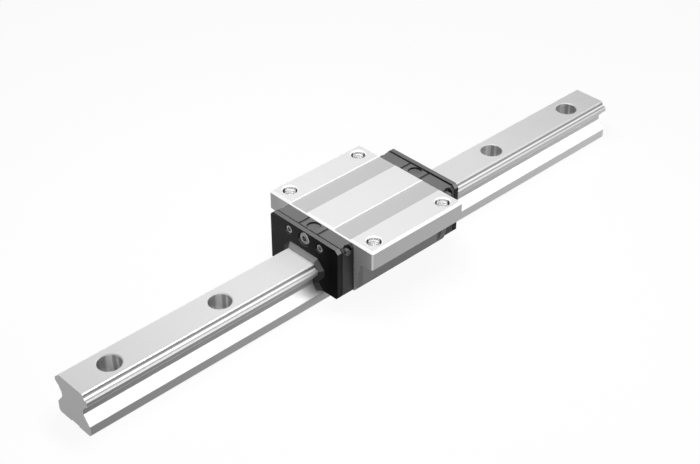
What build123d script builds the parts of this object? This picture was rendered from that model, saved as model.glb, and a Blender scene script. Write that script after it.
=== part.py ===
from build123d import *
from math import atan, degrees
import os

# Profile rail linear guide: a ground steel rail with one flanged carriage on
# four rows of balls. X runs along the rail, Y across it, Z up. The origin is
# the middle of the rail's underside. All sizes are in millimetres.

# Rail
rail_width = 23.0
rail_height = 22.0
hole_pitch = 60.0
hole_count = 6
end_margin = 20.0
rail_hole_d = 7.0
counterbore_d = 11.0
counterbore_depth = 9.0
counterbore_mouth = 0.5

# Rail section: a head with the ball tracks, a waist and a broad foot
head_slope = 3.15
head_edge_y = 2.55
head_edge_z = 0.3
track_edge_y = 0.6
track_edge_z = 2.4
shoulder_drop = 3.1
shoulder_height = 1.6
waist_depth = 3.85
waist_drop = 9.1
waist_length = 2.6
foot_height = 5.6
foot_chamfer = 1.0
relief_width = 6.0
relief_depth = 0.6

# Balls and their tracks, 45 degree contact
ball_d = 3.969
track_ratio = 0.52
ball_inset = 0.55
upper_ball_drop = 0.35
row_spacing = 7.35
ball_space = 0.9
bead_ratio = 0.93
bead_cut = 0.293

# Carriage block
carriage_height = 36.0
block_length = 59.5
flange_width = 70.0
flange_edge = 9.8
top_chamfer = 1.1
corner_chamfer = 0.6
body_bottom = 8.3
body_width = 48.0
draft_root = 2.9
draft_foot = 0.3
foot_cut = 1.1
foot_rise = 1.9
root_drop = 0.9
root_radius = 1.6
bolt_x = 45.0
bolt_edge = 6.5
bolt_core_d = 6.8
bolt_mouth_d = 8.0
strip_in = 8.8
strip_width = 11.7
strip_depth = 0.55
strip_slope = 0.45
pocket_end = 2.1
pocket_radius = 3.5
pocket_drop = 1.0

# End plates and seals
cap_inset = 1.15
plate_length = 7.5
plate_drop = 1.15
seal_length = 2.5
seal_drop = 0.8
cap_drop = 0.5
cap_corner = 1.2
top_corner = 1.7
segment_half = 6.3
segment_groove = 1.3
segment_depth = 0.4
mark_d = 6.8
mark_from_block = 3.6
mark_depth = 1.0
seam_width = 0.4
seam_depth = 0.5
side_port_d = 3.2
side_port_room = 0.6
side_port_from_block = 3.5
side_port_drop = 4.4
lip_reach = 1.8
lip_foot = 2.6
lip_tip = 0.35

# Screws and grease plugs
port_drop = 5.4
screw_y = 10.4
screw_head_d = 4.6
screw_head_length = 1.2
screw_sink = 0.5
head_bevel = 0.5
screw_shank_d = 2.9
screw_bite = 5.0
screw_runout = 1.0
screw_socket = 2.5
screw_socket_depth = 0.9
screw_sides = 8
plug_d = 6.0
plug_head_d = 6.8
plug_head_sink = 0.5
plug_socket = 3.0
plug_socket_depth = 0.8

# Ball retainers
retainer_thickness = 1.5
retainer_inset = 1.95
retainer_slope = 0.5
side_retainer_half = 1.3

# Named clearances
seal_gap = 0.08
plate_gap = 0.8
rail_gap = 0.35
land_gap = 1.1
ceiling_gap = 2.2
ledge_gap = 0.3
ledge_drop = 2.4
leg_rise = 0.6
leg_gap = 1.25
head_gap = 0.05
shank_gap = 0.05
plug_gap = 0.05
plug_sink = 0.9

# Sizes that follow
rail_length = hole_pitch * (hole_count - 1) + 2 * end_margin
rail_half = rail_width / 2
rail_top_half = rail_half - head_slope
shoulder_top = rail_height - shoulder_drop
shoulder_low = shoulder_top - shoulder_height
waist_half = rail_half - waist_depth
waist_top = rail_height - waist_drop
waist_low = waist_top - waist_length
ball_r = ball_d / 2
track_r = ball_d * track_ratio
ball_y = rail_half - ball_inset
ball_z_upper = rail_height - upper_ball_drop
ball_z_lower = ball_z_upper - row_spacing
ball_pitch = ball_d + ball_space
balls_in_row = int((block_length - ball_d) / ball_pitch) + 1
half_block = block_length / 2
half_flange = flange_width / 2
half_body = body_width / 2
flange_under = carriage_height - flange_edge
bolt_y = flange_width - 2 * bolt_edge
ceiling = rail_height + ceiling_gap
land_y = rail_half + land_gap
cap_half = half_body - cap_inset
cap_bottom = body_bottom - cap_drop
plate_top = carriage_height - plate_drop
plate_end = half_block + plate_length
seal_top = carriage_height - seal_drop
seal_end = plate_end + seal_length
lip_end = seal_end + lip_reach
port_z = carriage_height - port_drop
side_port_x = half_block + side_port_from_block
side_port_z = carriage_height - side_port_drop


def section(points):
    # Closed face from the +Y half of its outline, listed from the top down
    other_half = [(-y, z) for y, z in reversed(points) if y > 0]
    return make_face(Polyline(*points, *other_half, close=True))


def prism(face, start, end):
    # Face drawn as (y, z), swept along X from start to end
    return Pos(start, 0, 0) * extrude(Plane.YZ * face, amount=end - start)


def at_end(face, side, near, far):
    # Face swept along X at one end of the carriage, side is -1 or 1
    return prism(face, min(side * near, side * far), max(side * near, side * far))


def round_bar(side, near, far, y, z, diameter):
    # Round bar along X at one end of the carriage
    middle = Pos(side * (near + far) / 2, y, z) * Rot(0, 90, 0)
    return middle * Cylinder(diameter / 2, far - near)


def bevelled_end(side, top, y, z, diameter):
    # Bevel round the outer end of a round head
    middle = Pos(side * (top - head_bevel / 2), y, z) * Rot(0, side * 90, 0)
    return middle * Cone(diameter / 2, diameter / 2 - head_bevel, head_bevel)


def shank_bar(side, near, far, y, z, diameter):
    # Eight-sided bar, for the hidden shanks of screws and plugs and their holes
    profile = Pos(y, z) * RegularPolygon(diameter / 2, screw_sides)
    return at_end(profile, side, near, far)


def four_tracks(face):
    places = [(side * ball_y, z) for side in (-1, 1) for z in (ball_z_upper, ball_z_lower)]
    return [Pos(y, z) * face for y, z in places]


def rail_outline(flat_base):
    # Half outline of the rail before the tracks are ground in
    base = [(rail_half - foot_chamfer, 0), (0, 0)]
    if not flat_base:
        relief = relief_width / 2
        base = base[:1] + [(relief, 0), (relief, relief_depth), (0, relief_depth)]
    undercut_y = rail_half - track_edge_y
    return [
        (0, rail_height),
        (rail_top_half, rail_height),
        (rail_half - head_edge_y, rail_height - head_edge_z),
        (undercut_y, rail_height - track_edge_z),
        (rail_half, shoulder_top),
        (rail_half, shoulder_low),
        (undercut_y, shoulder_low - head_edge_z),
        (waist_half + head_edge_z, waist_top + head_edge_z),
        (waist_half, waist_top),
        (waist_half, waist_low),
        (rail_half - head_edge_z, foot_height + head_edge_z),
        (rail_half, foot_height),
        (rail_half, foot_chamfer),
    ] + base


def rail_section():
    return section(rail_outline(False)) - four_tracks(Circle(track_r))


def wiper_section():
    # Opening of the seal, a gap wider than the rail all round
    tracks = four_tracks(RegularPolygon(track_r, 12))
    return offset(section(rail_outline(True)) - tracks, seal_gap, kind=Kind.INTERSECTION)


def rail_hole(x):
    # Clearance hole with a counterbore for the screw head and a broken edge
    through = Pos(x, 0, rail_height / 2) * Cylinder(rail_hole_d / 2, rail_height)
    seat_z = rail_height - counterbore_depth / 2
    seat = Pos(x, 0, seat_z) * Cylinder(counterbore_d / 2, counterbore_depth)
    mouth_z = rail_height - counterbore_mouth / 2
    wide = counterbore_d / 2 + counterbore_mouth
    mouth = Pos(x, 0, mouth_z) * Cone(counterbore_d / 2, wide, counterbore_mouth)
    return through + seat + mouth


def rail():
    bar = prism(rail_section(), -rail_length / 2, rail_length / 2)
    first = end_margin - rail_length / 2
    for i in range(hole_count):
        bar -= rail_hole(first + i * hole_pitch)
    return bar


def channel():
    # Space for the rail, the balls and the retainers, open between the legs
    wide = ball_y + track_r
    ledge_z = ball_z_lower - ledge_drop
    leg_y = waist_half + leg_gap
    leg_top = waist_low + leg_rise
    run = leg_top - body_bottom
    flank = (rail_half - waist_half) / (waist_low - foot_height)
    side_points = [
        (wide, ball_z_upper),
        (wide, ball_z_upper - ball_r / 2),
        (land_y, ball_z_upper - ball_r),
        (land_y, ball_z_lower + ball_r),
        (wide, ball_z_lower + ball_r / 2),
        (wide, ball_z_lower),
        (ball_y + ledge_gap, ledge_z),
        (leg_y, ledge_z),
        (leg_y, leg_top),
        (leg_y + run * flank, body_bottom),
        (leg_y + run * flank, 0),
    ]
    space = section([(0, ceiling), (ball_y + ledge_gap, ceiling)] + side_points)
    return space + four_tracks(Circle(track_r))


def block_outline():
    # Rolled outline: flat flange on a body with drafted sides
    root_y = half_body + draft_root
    outline = section([
        (0, carriage_height),
        (half_flange - top_chamfer, carriage_height),
        (half_flange, carriage_height - top_chamfer),
        (half_flange, flange_under),
        (root_y, flange_under - root_drop),
        (half_body + draft_foot, body_bottom + foot_rise),
        (half_body + draft_foot - foot_cut, body_bottom),
    ])
    roots = [v for v in outline.vertices() if abs(abs(v.X) - root_y) < 0.001]
    return fillet(roots, root_radius)


def side_pocket(side):
    # Milled seat under the flange, which leaves the body sides flat
    length = block_length - 2 * pocket_end
    width = flange_width
    plan = RectangleRounded(length, width, pocket_radius)
    place = Pos(0, side * (half_body + width / 2))
    return extrude(place * plan, amount=flange_under - pocket_drop)


def top_strip(side):
    # Lowered strip between the ground pads, with sloping walls
    inner, outer = strip_in, strip_in + strip_width
    floor = carriage_height - strip_depth
    face = make_face(Polyline(
        (side * inner, carriage_height),
        (side * (inner + strip_slope), floor),
        (side * (outer - strip_slope), floor),
        (side * outer, carriage_height),
        close=True,
    ))
    return prism(face, -half_block, half_block)


def bolt_hole(x, y):
    # Tapped hole at its core diameter, countersunk at the top
    hole = Pos(x, y, carriage_height - flange_edge) * Cylinder(bolt_core_d / 2, 2 * flange_edge)
    sink = (bolt_mouth_d - bolt_core_d) / 2
    mouth = Pos(x, y, carriage_height - sink / 2) * Cone(bolt_core_d / 2, bolt_mouth_d / 2, sink)
    return hole + mouth


def end_bevel(side):
    x = side * half_block
    face = make_face(Polyline(
        (x, carriage_height - top_chamfer),
        (x - side * top_chamfer, carriage_height),
        (x, carriage_height),
        close=True,
    ))
    return extrude(Plane.XZ * face, amount=half_flange, both=True)


def corner_bevel(x_side, y_side):
    x, y = x_side * half_block, y_side * half_flange
    plan = make_face(Polyline(
        (x - x_side * corner_chamfer, y),
        (x, y),
        (x, y - y_side * corner_chamfer),
        close=True,
    ))
    return extrude(plan, amount=carriage_height)


def screw_places():
    return [(-screw_y, port_z), (screw_y, port_z)]


def carriage_block():
    body = prism(block_outline() - channel(), -half_block, half_block)
    hole_d = screw_shank_d + 2 * shank_gap
    for side in (-1, 1):
        body -= side_pocket(side)
        body -= top_strip(side)
        body -= end_bevel(side)
        for other in (-1, 1):
            body -= corner_bevel(side, other)
            body -= bolt_hole(side * bolt_x / 2, other * bolt_y / 2)
        for y, z in screw_places():
            body -= shank_bar(side, half_block - screw_bite - screw_runout, half_block, y, z, hole_d)
    return body


def cap_outline(top, inset=0):
    return section([
        (0, top - inset),
        (cap_half - top_corner, top - inset),
        (cap_half - inset, top - top_corner),
        (cap_half - inset, cap_bottom + cap_corner),
        (cap_half - cap_corner, cap_bottom + inset),
    ])


def plate_opening():
    # Plain opening with room round the rail
    side = rail_half + plate_gap
    waist = waist_half + plate_gap
    return section([
        (0, rail_height + plate_gap),
        (rail_top_half + plate_gap, rail_height + plate_gap),
        (side, shoulder_top + plate_gap / 2),
        (side, shoulder_low - plate_gap / 2),
        (waist, waist_top),
        (waist, waist_low + plate_gap),
        (side + plate_gap, foot_height + plate_gap),
        (side + plate_gap, 0),
    ])


def end_plate(side):
    # Moulded cap that turns the balls round, with grease ports on top and sides
    full = at_end(cap_outline(plate_top), side, half_block, plate_end - seam_width)
    seam = at_end(cap_outline(plate_top, seam_depth), side, plate_end - seam_width, plate_end)
    plate = full + seam - at_end(plate_opening(), side, half_block, plate_end)
    middle = side * (half_block + plate_end) / 2
    for y in (-segment_half, segment_half):
        plate -= Pos(middle, y, plate_top) * Box(plate_length, segment_groove, 2 * segment_depth)
    mark_x = side * (half_block + mark_from_block)
    plate -= Pos(mark_x, 0, plate_top) * Cylinder(mark_d / 2, 2 * mark_depth)
    bite_r = side_port_d / 2 + side_port_room
    rise = plate_top - side_port_z
    for y in (-cap_half, cap_half):
        boss = Rot(90, 0, 0) * Cylinder(side_port_d / 2, 3 * bite_r)
        bite = Pos(0, 0, rise) * Cylinder(bite_r, 2 * rise)
        plate -= Pos(side * side_port_x, y, side_port_z) * (bite - boss)
    for y, z in screw_places():
        plate -= shank_bar(side, half_block, plate_end, y, z, screw_shank_d + 2 * shank_gap)
    port_d = plug_d + 2 * plug_gap
    plate -= shank_bar(side, half_block + plug_sink, plate_end, 0, port_z, port_d)
    return plate


def lip(side):
    # Wiping lip: from its tip at the rail it widens towards the seal's face
    low = cap_bottom - lip_foot
    flank = (rail_half - waist_half) / (waist_low - foot_height)
    collar = section([
        (0, rail_height),
        (rail_top_half, rail_height),
        (rail_half, shoulder_top),
        (rail_half, shoulder_low),
        (waist_half, waist_top),
        (waist_half, waist_low),
        (waist_half + (waist_low - low) * flank, low),
    ])
    tip = offset(collar, lip_tip, kind=Kind.INTERSECTION)
    outwards = Plane((side * lip_end, 0, 0), x_dir=(0, -side, 0), z_dir=(-side, 0, 0))
    flare = degrees(atan((lip_foot - lip_tip) / lip_reach))
    return extrude(outwards * tip, amount=lip_reach, taper=-flare)


def end_seal(side):
    plate = at_end(cap_outline(seal_top), side, plate_end, seal_end)
    seal = plate + lip(side)
    below = Pos(0, cap_bottom / 2) * Rectangle(2 * cap_half, cap_bottom)
    seal -= at_end(wiper_section() + below, side, plate_end - 1, lip_end + 1)
    under_head = seal_end - screw_head_length - screw_sink
    for y, z in screw_places():
        seal -= shank_bar(side, plate_end, seal_end, y, z, screw_shank_d + 2 * shank_gap)
        seal -= round_bar(side, under_head, seal_end, y, z, screw_head_d + 2 * head_gap)
    seal -= round_bar(side, plate_end, seal_end, 0, port_z, plug_head_d + 1)
    return seal


def seal_screw(side, y, z):
    # Socket screw that holds the seal and the end plate on the block
    top = seal_end - screw_sink
    under_head = top - screw_head_length
    head = round_bar(side, under_head, top - head_bevel, y, z, screw_head_d)
    head += bevelled_end(side, top, y, z, screw_head_d)
    shank = shank_bar(side, half_block - screw_bite, under_head, y, z, screw_shank_d)
    socket = Pos(y, z) * RegularPolygon(screw_socket / 2, 6)
    return head + shank - at_end(socket, side, top - screw_socket_depth, top + 1)


def grease_plug(side):
    # Hexagon socket plug in the grease port
    far = seal_end - plug_head_sink
    plug = shank_bar(side, half_block + plug_sink, plate_end, 0, port_z, plug_d)
    plug += round_bar(side, plate_end, far - head_bevel, 0, port_z, plug_head_d)
    plug += bevelled_end(side, far, 0, port_z, plug_head_d)
    socket = Pos(0, port_z) * RegularPolygon(plug_socket / 2, 6)
    return plug - at_end(socket, side, far - plug_socket_depth, far + 1)


def bead():
    # Ball with few faces: a cube with its edges cut back
    size = 2 * bead_ratio * ball_r
    cube = Box(size, size, size)
    return chamfer(cube.edges(), bead_cut * size)


def ball_row(y, z):
    first = -(balls_in_row - 1) / 2 * ball_pitch
    ball = bead()
    return Compound([Pos(first + i * ball_pitch, y, z) * ball for i in range(balls_in_row)])


def side_retainer(side):
    # Resin strip between the two rows on one side
    middle = (ball_z_upper + ball_z_lower) / 2
    inner = rail_half + rail_gap
    slope = land_y - inner
    face = make_face(Polyline(
        (side * inner, middle - side_retainer_half + slope / 2),
        (side * inner, middle + side_retainer_half - slope / 2),
        (side * land_y, middle + side_retainer_half),
        (side * land_y, middle - side_retainer_half),
        close=True,
    ))
    return prism(face, -half_block, half_block)


def top_retainer():
    # Resin plate above the rail, between the two upper rows
    half = ball_y - retainer_inset
    low = ceiling - retainer_thickness
    face = section([(0, ceiling), (half + retainer_slope, ceiling), (half, low), (0, low)])
    return prism(face, -half_block, half_block)


def write(name, shape):
    export_step(shape, os.path.join("parts", name + ".step"))


os.makedirs("parts", exist_ok=True)
write("rail", rail())
write("carriage_block", carriage_block())
for end_name, end_side in (("front", -1), ("rear", 1)):
    write("end_plate_" + end_name, end_plate(end_side))
    write("end_seal_" + end_name, end_seal(end_side))
    write("grease_plug_" + end_name, grease_plug(end_side))
    screws = [seal_screw(end_side, y, z) for y, z in screw_places()]
    write("seal_screws_" + end_name, Compound(screws))
for side_name, row_side in (("near", -1), ("far", 1)):
    write("balls_upper_" + side_name, ball_row(row_side * ball_y, ball_z_upper))
    write("balls_lower_" + side_name, ball_row(row_side * ball_y, ball_z_lower))
    write("ball_retainer_" + side_name, side_retainer(row_side))
write("ball_retainer_top", top_retainer())
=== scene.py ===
import math

import bpy
from mathutils import Matrix, Vector


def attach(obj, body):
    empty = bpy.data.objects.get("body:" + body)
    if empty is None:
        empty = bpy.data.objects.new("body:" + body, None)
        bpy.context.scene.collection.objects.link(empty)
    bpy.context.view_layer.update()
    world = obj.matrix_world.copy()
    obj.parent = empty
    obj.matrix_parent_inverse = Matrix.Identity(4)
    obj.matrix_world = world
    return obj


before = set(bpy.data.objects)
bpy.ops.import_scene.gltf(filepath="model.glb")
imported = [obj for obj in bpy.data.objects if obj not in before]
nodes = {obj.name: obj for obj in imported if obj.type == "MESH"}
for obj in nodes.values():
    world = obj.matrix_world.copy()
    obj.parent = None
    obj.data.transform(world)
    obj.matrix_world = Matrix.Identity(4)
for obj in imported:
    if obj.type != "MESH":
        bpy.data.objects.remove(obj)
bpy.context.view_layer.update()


# Camera: a long lens that looks down on the near end of the rail from its
# left, as in a catalogue. Its place and its lens were fitted to the rail's
# holes and to the carriage's corners and tapped holes.
camera_place = (-0.393351, -0.401007, 0.418870)
camera_turn = math.radians(-43.69)
camera_tilt = math.radians(35.725)

back = Vector((
    math.sin(camera_turn) * math.cos(camera_tilt),
    -math.cos(camera_turn) * math.cos(camera_tilt),
    math.sin(camera_tilt),
))
right = Vector((math.cos(camera_turn), math.sin(camera_turn), 0))
up = back.cross(right)
camera_data = bpy.data.cameras.new("camera")
camera_data.lens = 73.98
camera_data.sensor_width = 36
camera_data.clip_end = 20
camera = bpy.data.objects.new("camera", camera_data)
bpy.context.collection.objects.link(camera)
camera.matrix_world = Matrix((
    (right.x, up.x, back.x, camera_place[0]),
    (right.y, up.y, back.y, camera_place[1]),
    (right.z, up.z, back.z, camera_place[2]),
    (0, 0, 0, 1),
))
bpy.context.scene.camera = camera
bpy.context.scene.view_settings.view_transform = "Standard"


# Floor: a white sheet under the rail that runs past the picture on all sides.
# The camera, metal and glass see it white, with the object's faint shadow.
# It throws little light back up, so the undersides stay in shade.
floor_size = 8
floor_drop = 0.0004
floor_glow = 0.92
floor_grey = 0.1


def plug_in(tree, socket, value):
    # Links an input to another node's socket, or sets it to a constant
    if isinstance(value, bpy.types.NodeSocket):
        tree.links.new(value, socket)
    else:
        socket.default_value = value


def add(tree, kind, inputs=(), **settings):
    made = tree.nodes.new("ShaderNode" + kind)
    for key, value in settings.items():
        setattr(made, key, value)
    for key, value in dict(inputs).items():
        plug_in(tree, made.inputs[key], value)
    return made


def math_node(tree, operation, *values):
    return add(tree, "Math", dict(enumerate(values)), operation=operation).outputs[0]


def largest(tree, first, *others):
    for other in others:
        first = math_node(tree, "MAXIMUM", first, other)
    return first


def seen_directly(tree):
    # 1 for camera, glossy and transmission rays, 0 for all others
    path = add(tree, "LightPath").outputs
    return largest(tree, path["Is Camera Ray"], path["Is Glossy Ray"], path["Is Transmission Ray"])


def grey(level):
    return (level, level, level, 1)


def clean_material(name):
    material = bpy.data.materials.new(name)
    material.use_nodes = True
    material.node_tree.nodes.clear()
    return material, material.node_tree


bpy.ops.object.select_all(action="DESELECT")
bpy.ops.mesh.primitive_plane_add(size=floor_size, location=(0, 0, -floor_drop))
floor = bpy.context.object
floor.name = "floor"
floor_material, tree = clean_material("white_floor")
glow = add(tree, "Emission", {"Color": grey(1), "Strength": floor_glow})
sheet = add(tree, "BsdfDiffuse", {"Color": grey(floor_grey)})
white = add(tree, "AddShader", {0: glow.outputs[0], 1: sheet.outputs[0]})
shaded = add(tree, "BsdfDiffuse", {"Color": grey(floor_grey)})
floor_mix = add(tree, "MixShader", {
    "Fac": seen_directly(tree), 1: shaded.outputs[0], 2: white.outputs[0],
})
add(tree, "OutputMaterial", {"Surface": floor_mix.outputs[0]})
floor.data.materials.append(floor_material)


# Studio: a white surround, one soft box above, a long one low on the right
# that gives the sloping edges their white line, and a small one on the left.
surround_light = 0.1
surround_white = 1.0


def blend_value(tree, factor, first, second):
    ramp = add(tree, "MapRange", {"Value": factor, "To Min": first, "To Max": second})
    return ramp.outputs[0]


def soft_box(name, place, aim, size, watts):
    data = bpy.data.lights.new(name, "AREA")
    data.shape = "RECTANGLE"
    data.size, data.size_y = size
    data.energy = watts
    lamp = bpy.data.objects.new(name, data)
    bpy.context.collection.objects.link(lamp)
    lamp.location = place
    lamp.rotation_euler = (Vector(aim) - Vector(place)).to_track_quat("-Z", "Y").to_euler()


world = bpy.data.worlds.new("studio")
bpy.context.scene.world = world
world.use_nodes = True
tree = world.node_tree
tree.nodes.clear()
surround = blend_value(tree, seen_directly(tree), surround_light, surround_white)
sky = add(tree, "Background", {"Color": grey(1), "Strength": surround})
add(tree, "OutputWorld", {"Surface": sky.outputs[0]})
soft_box("soft_box_above", (-0.015, 0.02, 0.33), (-0.015, 0, 0), (0.12, 0.24), 0.82)
soft_box("soft_box_right", (0.3, -0.6, 0.16), (0.03, 0, 0.01), (0.62, 0.2), 1.9)
soft_box("soft_box_left", (-0.6, -0.08, 0.37), (-0.03, 0, 0.03), (0.25, 0.25), 0.32)


# Rail: one bar of hardened steel, drawn to shape and ground along its length,
# with the two ball tracks on each side. It is screwed down through six
# counterbored holes, and its ends are cut off square.
rail_half_length = 0.17
half_hole_pitch = 0.03
picture_right = (0.723, -0.691)

# Limits of its masks: each mask is 0 at the first value and 1 at the second
hole_wall_reach = (0.00608, 0.00602)
off_hole_reach = (0.0060, 0.0063)
cut_end_x = (0.16996, 0.16999)
upper_line_z = ((0.02025, 0.02040), (0.02124, 0.02108))
lower_line_y = ((0.00990, 0.01035), (0.01110, 0.01070))
lower_line_z = (0.0192, 0.0193)
last_band_z = ((0.0180, 0.0182), (0.0196, 0.0194))
head_z = (0.013, 0.015)
foot_z = (0.012, 0.008)
upright_faces = (0.3, 0.1)
sloping_faces = ((0.3, 0.5), (0.95, 0.85))
undercut_faces = (-0.1, -0.3)

# Painted reflection on a bored wall: its brightness from its left side in the picture to its right
hole_wall_half = 0.0056
painted_hole_reflection = (
    (0, 0.2), (0.08, 0.55), (0.24, 0.62), (0.32, 0.97), (0.5, 0.97), (0.56, 0.5),
    (0.66, 0.5), (0.71, 0.97), (0.76, 0.95), (0.8, 0.55), (1, 0.4),
)


def new_group(name, inputs, outputs):
    group = bpy.data.node_groups.new(name, "ShaderNodeTree")
    for side, sockets in (("INPUT", inputs), ("OUTPUT", outputs)):
        for label, kind in sockets.items():
            group.interface.new_socket(label, in_out=side, socket_type="NodeSocket" + kind)
    return group, group.nodes.new("NodeGroupInput").outputs, group.nodes.new("NodeGroupOutput").inputs


def group_node(tree, group, inputs):
    made = tree.nodes.new("ShaderNodeGroup")
    made.node_tree = group
    for key, value in inputs.items():
        plug_in(tree, made.inputs[key], value)
    return made.outputs


def product(tree, first, *others):
    for other in others:
        first = math_node(tree, "MULTIPLY", first, other)
    return first


# Streaks: long or round noise, by how far the pattern is stretched
streaks, taken, given = new_group(
    "streaks",
    {"Vector": "Vector", "Stretch": "Vector", "Scale": "Float", "Contrast": "Float"},
    {"Value": "Float"},
)
placed = add(streaks, "Mapping", {"Vector": taken["Vector"], "Scale": taken["Stretch"]})
noise = add(streaks, "TexNoise", {
    "Vector": placed.outputs[0], "Scale": taken["Scale"], "Detail": 3.0, "Roughness": 0.6,
})
centred = math_node(streaks, "SUBTRACT", noise.outputs["Fac"], 0.5)
spread = product(streaks, centred, taken["Contrast"])
streaks.links.new(math_node(streaks, "ADD", spread, 0.5), given["Value"])


def streaky(tree, spot, scale, contrast, stretch=(1, 1, 1)):
    inputs = {"Vector": spot, "Stretch": stretch, "Scale": scale, "Contrast": contrast}
    return group_node(tree, streaks, inputs)["Value"]


def grinding_lines(tree, spot):
    # Fine lines that run along X
    return streaky(tree, spot, 2600.0, 1.6, stretch=(0.02, 1, 1))


def absolute(tree, value):
    return math_node(tree, "ABSOLUTE", value)


def distance(tree, first, second):
    squares = math_node(
        tree, "ADD",
        math_node(tree, "POWER", first, 2.0), math_node(tree, "POWER", second, 2.0),
    )
    return math_node(tree, "SQRT", squares)


def across_picture(tree, x, y):
    # How far a place lies to the right, as the camera sees it
    return math_node(
        tree, "ADD", product(tree, x, picture_right[0]), product(tree, y, picture_right[1]),
    )


def band(tree, value, none, full):
    # 0 at one limit, 1 at the other, and level beyond both
    ramp = add(tree, "MapRange", {"Value": value, "From Min": none, "From Max": full})
    return ramp.outputs[0]


def between(tree, value, rise, fall):
    # 1 inside both limits, 0 outside them
    return product(tree, band(tree, value, *rise), band(tree, value, *fall))


def blend_colour(tree, factor, first, second):
    # The Mix node's sockets for colours go by number, as their names repeat
    mixed = tree.nodes.new("ShaderNodeMix")
    mixed.data_type = "RGBA"
    for index, value in ((0, factor), (6, first), (7, second)):
        plug_in(tree, mixed.inputs[index], value)
    return mixed.outputs[2]


def surface(tree):
    # A place on the piece, the same split into axes, and the way its face looks
    coordinate = add(tree, "TexCoord").outputs
    axes = add(tree, "SeparateXYZ", {"Vector": coordinate["Object"]}).outputs
    facing = add(tree, "SeparateXYZ", {"Vector": coordinate["Normal"]}).outputs
    return coordinate["Object"], axes, facing


def finish(tree, colour, roughness, metallic, height, depth, specular=0.5):
    # The shader of a material, with its bump
    bump = add(tree, "Bump", {"Height": height, "Strength": 0.4, "Distance": depth})
    shader = add(tree, "BsdfPrincipled", {
        "Base Color": colour, "Roughness": roughness, "Metallic": metallic,
        "Normal": bump.outputs[0],
    })
    shader.inputs["Specular IOR Level"].default_value = specular
    add(tree, "OutputMaterial", {"Surface": shader.outputs[0]})


def dress(names, material):
    for name in names:
        mesh = nodes[name].data
        mesh.materials.clear()
        mesh.materials.append(material)


ground_steel, tree = clean_material("ground_steel")
spot, axes, facing = surface(tree)
height = axes["Z"]
lines = grinding_lines(tree, spot)
cloud = streaky(tree, spot, 60.0, 1.0, stretch=(0.4, 1, 1))
# Hole walls, by the distance from the nearest hole of the row
from_hole = math_node(tree, "SUBTRACT", axes["X"], half_hole_pitch)
from_hole = math_node(tree, "WRAP", from_hole, half_hole_pitch, -half_hole_pitch)
reach = distance(tree, from_hole, axes["Y"])
cut_end = band(tree, absolute(tree, axes["X"]), *cut_end_x)
# Painted shade on the head: a fine dark line on each side of a bright band stands for the shade along
# the ball tracks
upper_line = between(tree, height, *upper_line_z)
lower_line = between(tree, absolute(tree, axes["Y"]), *lower_line_y)
lower_line = product(tree, lower_line, band(tree, height, *lower_line_z))
painted_track_shade = largest(tree, upper_line, product(tree, lower_line, 0.74))
# The sloping faces are ground, and painted bright as a painted highlight; the upright ones are left
# as drawn
slope = absolute(tree, facing["Z"])
upright = band(tree, slope, *upright_faces)
in_hole = product(tree, upright, band(tree, reach, *hole_wall_reach))
sloping = between(tree, slope, *sloping_faces)
sloping = product(tree, sloping, band(tree, reach, *off_hole_reach))
ground = blend_colour(tree, cloud, grey(0.78), grey(0.84))
ground = blend_colour(tree, product(tree, lines, 0.3), ground, grey(0.7))
# Painted light: the undercut and upright faces are painted lighter along the rail, from its front end
# to its rear end
along = band(tree, axes["X"], -rail_half_length, rail_half_length)
# Painted highlight: the sloping faces are painted near white, with a band low on the head painted
# darker as painted shade
ground_and_painted_light = blend_colour(tree, between(tree, height, *last_band_z), grey(0.95), grey(0.68))
undercut = blend_colour(tree, along, grey(0.64), grey(0.88))
ground_and_painted_light = blend_colour(tree, band(tree, facing["Z"], *undercut_faces), ground_and_painted_light, undercut)
colour = blend_colour(tree, sloping, ground, ground_and_painted_light)
colour = blend_colour(tree, painted_track_shade, colour, grey(0.24))
# Painted light and shade: the foot, the waist and the head's sides are painted at different levels by
# height
foot = blend_colour(tree, along, grey(0.56), grey(0.97))
waist = blend_colour(tree, along, grey(0.4), grey(0.69))
head_side = blend_colour(tree, along, grey(0.47), grey(0.92))
drawn_and_painted_light = blend_colour(tree, band(tree, height, *foot_z), waist, foot)
drawn_and_painted_light = blend_colour(tree, band(tree, height, *head_z), drawn_and_painted_light, head_side)
drawn_and_painted_light = blend_colour(tree, product(tree, lines, 0.15), drawn_and_painted_light, grey(0.5))
colour = blend_colour(tree, upright, colour, drawn_and_painted_light)
colour = blend_colour(tree, cut_end, colour, grey(0.7))
# Painted reflection: the bored walls are painted in upright light and dark bands
crosswise = across_picture(tree, from_hole, axes["Y"])
painted_reflection_bands = add(tree, "ValToRGB", {"Fac": band(tree, crosswise, -hole_wall_half, hole_wall_half)})
ramp = painted_reflection_bands.color_ramp
for place, _ in painted_hole_reflection[1:-1]:
    ramp.elements.new(place)
for stop, (place, level) in zip(ramp.elements, painted_hole_reflection):
    stop.position = place
    stop.color = grey(level)
colour = blend_colour(tree, in_hole, colour, painted_reflection_bands.outputs["Color"])
rough = math_node(tree, "ADD", blend_value(tree, in_hole, 0.36, 0.3), product(tree, lines, 0.1))
on_head = product(tree, along, band(tree, height, *head_z))
metal = largest(
    tree,
    product(tree, sloping, blend_value(tree, on_head, 0.6, 0.3)),
    blend_value(tree, upright, 0.08, 0.0),
    product(tree, cut_end, 0.35),
    product(tree, in_hole, 0.7),
)
finish(tree, colour, rough, metal, lines, depth=0.00002, specular=0.2)
dress(["rail"], ground_steel)


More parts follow.
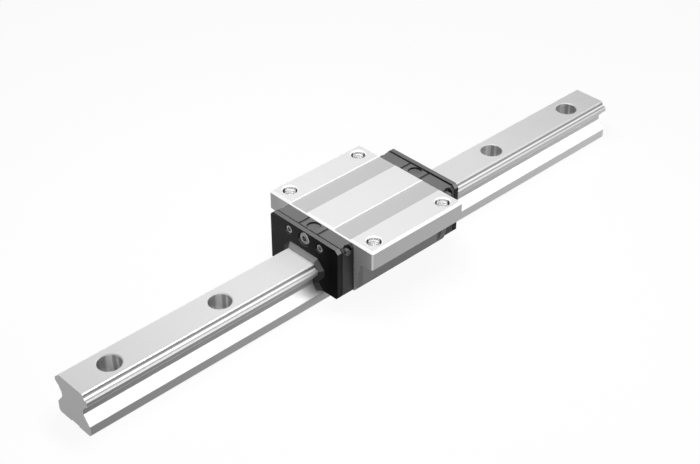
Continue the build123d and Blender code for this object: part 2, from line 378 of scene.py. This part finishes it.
# Carriage block: a rolled steel section with a flange on each side. Its top
# pads, flange sides and ends are ground, and the strips between the pads and
# the drafted sides are left as rolled.
bolt_x = 0.0225
bolt_y = 0.0285
bolt_rim = (0.00404, 0.00400)
spot_side = (0.0022, 0.0028)
spot_heights = ((0.0325, 0.0334), (0.0357, 0.0353))
strip_z = ((0.0351, 0.0353), (0.03590, 0.03550))
strip_y = (0.0215, 0.0210)
strip_wall_z = (0.03580, 0.03570)
strip_wall_x = (0.02868, 0.02862)
below_flange_z = (0.02622, 0.02612)
underside_z = (0.0262, 0.0261)
between_ends_x = (0.02974, 0.02970)
end_face_x = (0.02972, 0.02974)
beside_plate_y = (0.0305, 0.0235)
body_side_y = (0.02402, 0.02406)
flange_side_y = (0.03496, 0.03499)
corner_faces = (0.3, 0.4)
bevel_faces = ((0.4, 0.55), (0.95, 0.85))
underside_faces = (-0.15, -0.35)

# Tapped holes: the nearest of the four, and a painted dark reflection on two of its sides
tapped_hole, taken, given = new_group(
    "tapped_hole", {"Vector": "Vector"}, {"Inside": "Float", "Spots": "Float"},
)
apart = add(tapped_hole, "SeparateXYZ", {"Vector": taken["Vector"]}).outputs
bolt_dx = math_node(tapped_hole, "WRAP", apart["X"], 2 * bolt_x, 0.0)
bolt_dx = math_node(tapped_hole, "SUBTRACT", bolt_dx, bolt_x)
bolt_dy = math_node(tapped_hole, "WRAP", apart["Y"], 2 * bolt_y, 0.0)
bolt_dy = math_node(tapped_hole, "SUBTRACT", bolt_dy, bolt_y)
inside = band(tapped_hole, distance(tapped_hole, bolt_dx, bolt_dy), *bolt_rim)
sideways = absolute(tapped_hole, across_picture(tapped_hole, bolt_dx, bolt_dy))
spots = band(tapped_hole, sideways, *spot_side)
for limits in spot_heights:
    spots = product(tapped_hole, spots, band(tapped_hole, apart["Z"], *limits))
tapped_hole.links.new(inside, given["Inside"])
tapped_hole.links.new(product(tapped_hole, spots, inside), given["Spots"])

block_steel, tree = clean_material("block_steel")
spot, axes, facing = surface(tree)
height = axes["Z"]
lines = grinding_lines(tree, spot)
grain = streaky(tree, spot, 1500.0, 1.4)
across = absolute(tree, axes["Y"])
along = absolute(tree, axes["X"])
on_corner = absolute(tree, product(tree, facing["X"], facing["Y"]))
on_corner = band(tree, on_corner, *corner_faces)
near_strip = band(tree, across, *strip_y)
strip = product(tree, near_strip, between(tree, height, *strip_z))
below_flange = band(tree, height, *below_flange_z)
milled_and_painted_shade = product(tree, below_flange, band(tree, along, *between_ends_x))
rolled_and_painted_shade = product(tree, milled_and_painted_shade, band(tree, across, *body_side_y))
left_rolled = largest(tree, strip, milled_and_painted_shade)
in_bolt, painted_dark_reflection = group_node(tree, tapped_hole, {"Vector": spot})
colour = blend_colour(tree, product(tree, lines, 0.3), grey(0.78), grey(0.68))
colour = blend_colour(tree, strip, colour, blend_colour(tree, grain, grey(0.49), grey(0.55)))
# The bevels are ground, and painted white as a painted highlight, but not the sloping walls along the
# strips
strip_wall = product(tree, near_strip, band(tree, height, *strip_wall_z))
strip_wall = product(tree, strip_wall, band(tree, along, *strip_wall_x))
bevelled = between(tree, facing["Z"], *bevel_faces)
bevelled = product(tree, bevelled, math_node(tree, "SUBTRACT", 1.0, strip_wall))
colour = blend_colour(tree, bevelled, colour, grey(0.95))
# Painted shade: the flange sides are painted darker than the pads
colour = blend_colour(tree, band(tree, across, *flange_side_y), colour, grey(0.62))
# The ends are ground, and painted bright beside the end plates as painted light
painted_light_end = product(tree, band(tree, along, *end_face_x), band(tree, across, *beside_plate_y))
colour = blend_colour(tree, painted_light_end, colour, grey(0.97))
# Below the flange: darker as milled and rolled steel, and darkened further as painted shade under the
# flange
colour = blend_colour(tree, milled_and_painted_shade, colour, blend_colour(tree, lines, grey(0.2), grey(0.24)))
colour = blend_colour(tree, rolled_and_painted_shade, colour, blend_colour(tree, grain, grey(0.1), grey(0.14)))
# Painted shade: the corners below the flange and the downward faces are painted near black
painted_shade_underneath = product(tree, on_corner, below_flange)
painted_shade_underneath = largest(tree, painted_shade_underneath, band(tree, facing["Z"], *underside_faces))
painted_shade_underneath = product(tree, painted_shade_underneath, band(tree, height, *underside_z))
colour = blend_colour(tree, painted_shade_underneath, colour, grey(0.07))
# Painted reflection: dark spots on two sides of each tapped hole
colour = blend_colour(tree, in_bolt, colour, blend_colour(tree, painted_dark_reflection, grey(0.97), grey(0.02)))
rough = math_node(tree, "ADD", blend_value(tree, left_rolled, 0.36, 0.5), product(tree, lines, 0.08))
metal = largest(
    tree,
    blend_value(tree, left_rolled, 0.17, 0.06),
    product(tree, in_bolt, 0.95),
    product(tree, on_corner, blend_value(tree, left_rolled, 0.6, 0.0)),
    product(tree, bevelled, 0.75),
)
finish(tree, colour, rough, metal, lines, depth=0.00002)
dress(["carriage_block"], block_steel)


# Carriage threads: the four tapped holes for M8 screws. Each is one ridge
# that winds up the wall of the hole, made once and copied.
thread_pitch = 0.00125
thread_wall = 0.00343
thread_crest = 0.00308
thread_low = 0.0265
thread_turns = 6
steps_per_turn = 40
flank_rise = 0.38
crest_rise = 0.14
smooth_angle = math.radians(30)

bpy.ops.object.select_all(action="DESELECT")
bpy.ops.mesh.primitive_plane_add(size=0.001, location=(0, 0, 0))
thread = bpy.context.object
thread.name = "carriage_thread_1"
bpy.ops.object.mode_set(mode="EDIT")
bpy.ops.mesh.select_all(action="SELECT")
bpy.ops.mesh.merge(type="CENTER")
bpy.ops.transform.translate(value=(thread_wall, 0, thread_low))
ridge = (
    (thread_crest - thread_wall, flank_rise),
    (0, crest_rise),
    (thread_wall - thread_crest, flank_rise),
)
for inwards, rise in ridge:
    bpy.ops.mesh.extrude_vertices_move(
        TRANSFORM_OT_translate={"value": (inwards, 0, rise * thread_pitch)},
    )
bpy.ops.mesh.select_all(action="SELECT")
bpy.ops.mesh.edge_face_add()
bpy.ops.mesh.delete(type="ONLY_FACE")
bpy.ops.object.mode_set(mode="OBJECT")
winding = thread.modifiers.new("winding", "SCREW")
winding.axis = "Z"
winding.angle = 2 * math.pi
winding.screw_offset = thread_pitch
winding.iterations = thread_turns
winding.steps = steps_per_turn
winding.render_steps = steps_per_turn
winding.use_normal_calculate = True
bpy.ops.object.modifier_apply(modifier="winding")
bpy.ops.object.mode_set(mode="EDIT")
bpy.ops.mesh.select_all(action="SELECT")
bpy.ops.mesh.fill_holes(sides=0)
bpy.ops.mesh.select_all(action="SELECT")
bpy.ops.mesh.normals_make_consistent(inside=False)
bpy.ops.object.mode_set(mode="OBJECT")

thread_steel, tree = clean_material("thread_steel")
spot = add(tree, "TexCoord").outputs["Object"]
tool_marks = streaky(tree, spot, 900.0, 1.5, stretch=(1, 1, 6))
# Painted reflection: the same dark spots on two sides of each hole
painted_dark_reflection = group_node(tree, tapped_hole, {"Vector": spot})["Spots"]
colour = blend_colour(tree, tool_marks, grey(0.86), grey(0.97))
colour = blend_colour(tree, painted_dark_reflection, colour, grey(0.02))
finish(tree, colour, blend_value(tree, tool_marks, 0.35, 0.5), 0.95, tool_marks, depth=0.00001)
thread.data.materials.append(thread_steel)

# All copies are made before a place is moved into a mesh
bolt_corners = ((-1, -1), (-1, 1), (1, -1), (1, 1))
threads = [thread]
for number in range(2, len(bolt_corners) + 1):
    copy = thread.copy()
    copy.data = thread.data.copy()
    copy.name = "carriage_thread_" + str(number)
    bpy.context.collection.objects.link(copy)
    threads.append(copy)
for copy, (x, y) in zip(threads, bolt_corners):
    bpy.ops.object.select_all(action="DESELECT")
    copy.select_set(True)
    bpy.context.view_layer.objects.active = copy
    copy.location = (x * bolt_x, y * bolt_y, 0)
    bpy.ops.object.transform_apply(location=True, rotation=True, scale=True)
    bpy.ops.object.shade_smooth_by_angle(angle=smooth_angle)
    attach(copy, "carriage")


# End plates: moulded in dark resin, screwed on each end of the block. They
# turn the balls round. The upper faces are rougher than the smooth sides, and
# are painted paler as painted light from above.
seal_joint_x = (0.03640, 0.03652)
groove_z = ((0.03478, 0.03470), (0.03430, 0.03436))
port_x = 0.03325
port_z = 0.0316
port_rim = (0.00162, 0.00156)
plate_side_y = (0.02275, 0.02280)
matt_and_painted_light_faces = (0.6, 0.95)

# Painted edge highlight: where two faces meet, from the rounded and the plain normal
painted_edge_highlight, taken, given = new_group(
    "painted_edge_highlight", {"Radius": "Float", "Strength": "Float"}, {"Mask": "Float"},
)
rounded = add(painted_edge_highlight, "Bevel", {"Radius": taken["Radius"]}, samples=4)
plain = add(painted_edge_highlight, "NewGeometry").outputs["Normal"]
alike = add(painted_edge_highlight, "VectorMath", {0: rounded.outputs[0], 1: plain}, operation="DOT_PRODUCT")
turned = math_node(painted_edge_highlight, "SUBTRACT", 1.0, alike.outputs["Value"])
strong = product(painted_edge_highlight, turned, taken["Strength"])
painted_edge_highlight.links.new(math_node(painted_edge_highlight, "MINIMUM", strong, 1.0), given["Mask"])

dark_resin, tree = clean_material("dark_resin")
spot, axes, facing = surface(tree)
grain = streaky(tree, spot, 2200.0, 1.4)
cloud = streaky(tree, spot, 90.0, 1.2)
# Painted light: the upper faces are painted paler than the sides
matt_and_painted_light = band(tree, facing["Z"], *matt_and_painted_light_faces)
edge_highlight_mask = group_node(tree, painted_edge_highlight, {"Radius": 0.0003, "Strength": 1.6})["Mask"]
smooth_side = blend_colour(tree, cloud, grey(0.012), grey(0.02))
painted_light_top = blend_colour(tree, cloud, grey(0.135), grey(0.165))
colour = blend_colour(tree, matt_and_painted_light, smooth_side, painted_light_top)
# Painted shade in the floor of the grooves and along the joint with the seal, and the port on each
# side
groove = between(tree, axes["Z"], *groove_z)
colour = blend_colour(tree, product(tree, groove, matt_and_painted_light), colour, grey(0.06))
from_middle = absolute(tree, axes["X"])
colour = blend_colour(tree, band(tree, from_middle, *seal_joint_x), colour, grey(0.008))
port_dx = math_node(tree, "SUBTRACT", from_middle, port_x)
port_dz = math_node(tree, "SUBTRACT", axes["Z"], port_z)
port_plug = band(tree, distance(tree, port_dx, port_dz), *port_rim)
port_plug = product(tree, port_plug, band(tree, absolute(tree, axes["Y"]), *plate_side_y))
colour = blend_colour(tree, port_plug, colour, grey(0.22))
# Painted highlight: the edges are painted a lighter grey
colour = blend_colour(tree, product(tree, edge_highlight_mask, 0.5), colour, grey(0.16))
rough = blend_value(tree, matt_and_painted_light, 0.42, 0.6)
finish(tree, colour, rough, 0.0, grain, depth=0.00002, specular=0.3)
dress(["end_plate_front", "end_plate_rear"], dark_resin)


# End seals: black rubber on a steel core, held by the screws of the end
# plate. The lip round the rail is left in the softer grey of bare rubber.
lip_x = (0.03976, 0.03986)
lit_lip_y = (0.0100, 0.0090)
near_to_far_y = (-0.018, 0.022)
seal_side_y = (0.0225, 0.0228)
top_edge_x = (0.03745, 0.03755)
top_faces = (0.6, 0.95)
lip_faces = (0.35, 0.74)
cut_corner_faces = (0.35, 0.45)

seal_rubber, tree = clean_material("seal_rubber")
spot, axes, facing = surface(tree)
grain = streaky(tree, spot, 2500.0, 1.4)
from_middle = absolute(tree, axes["X"])
black = blend_colour(tree, grain, grey(0.002), grey(0.005))
# Painted reflection: the black is painted lighter towards the +Y side
black = blend_colour(tree, band(tree, axes["Y"], *near_to_far_y), black, grey(0.1))
black = blend_colour(tree, band(tree, absolute(tree, axes["Y"]), *seal_side_y), black, grey(0.04))
# Painted highlight: the upper faces along the outer edge are painted lighter
top_edge = product(
    tree, band(tree, facing["Z"], *top_faces), band(tree, from_middle, *top_edge_x),
)
black = blend_colour(tree, top_edge, black, grey(0.18))
# Painted highlight: the cut corners are painted lighter
cut_corner = absolute(tree, product(tree, facing["Y"], facing["Z"]))
black = blend_colour(tree, band(tree, cut_corner, *cut_corner_faces), black, grey(0.26))
# Painted light: the upper faces of the lip are painted pale, except on the +Y side
painted_light_on_lip = product(
    tree, band(tree, facing["Z"], *lip_faces), band(tree, axes["Y"], *lit_lip_y),
)
soft_grey = blend_colour(tree, painted_light_on_lip, grey(0.1), grey(0.62))
colour = blend_colour(tree, band(tree, from_middle, *lip_x), black, soft_grey)
finish(tree, colour, 0.6, 0.0, grain, depth=0.00002, specular=0.03)
dress(["end_seal_front", "end_seal_rear"], seal_rubber)


# Screws and plugs: darkened steel screws that hold the seal and the end
# plate, and a bare plug in the grease port between them.
screws_y = (0.005, 0.006)
head_bevel_faces = ((0.4, 0.6), (0.95, 0.8))

screw_steel, tree = clean_material("screw_steel")
spot, axes, facing = surface(tree)
turned_marks = streaky(tree, spot, 1200.0, 1.5)
darkened = band(tree, absolute(tree, axes["Y"]), *screws_y)
bare = blend_colour(tree, turned_marks, grey(0.08), grey(0.4))
colour = blend_colour(tree, darkened, bare, grey(0.32))
# Painted highlight: the bevel round each head is painted lighter
bevel = between(tree, absolute(tree, facing["X"]), *head_bevel_faces)
colour = blend_colour(tree, bevel, colour, grey(0.5))
rough = blend_value(tree, turned_marks, 0.28, 0.42)
rough = math_node(tree, "SUBTRACT", rough, product(tree, darkened, 0.2))
finish(tree, colour, rough, 1.0, turned_marks, depth=0.00001)
dress(["seal_screws_front", "seal_screws_rear", "grease_plug_front", "grease_plug_rear"], screw_steel)


# Balls: polished bearing steel, all of one size. They lie in four rows in the
# tracks between the rail and the block, and carry the load.
ball_steel, tree = clean_material("ball_steel")
spot = add(tree, "TexCoord").outputs["Object"]
film = streaky(tree, spot, 400.0, 1.2)
colour = blend_colour(tree, film, grey(0.7), grey(0.8))
finish(tree, colour, blend_value(tree, film, 0.08, 0.16), 1.0, film, depth=0.000005)
dress(["balls_upper_near", "balls_upper_far", "balls_lower_near", "balls_lower_far"], ball_steel)


# Retainers: pale resin strips, clipped in the block, that keep the balls in
# when the carriage is off the rail.
retainer_resin, tree = clean_material("retainer_resin")
spot = add(tree, "TexCoord").outputs["Object"]
moulded = streaky(tree, spot, 500.0, 1.3, stretch=(0.3, 1, 1))
colour = blend_colour(tree, moulded, (0.62, 0.6, 0.53, 1), (0.72, 0.7, 0.63, 1))
finish(tree, colour, blend_value(tree, moulded, 0.4, 0.55), 0.0, moulded, depth=0.00001)
dress(["ball_retainer_near", "ball_retainer_far", "ball_retainer_top"], retainer_resin)
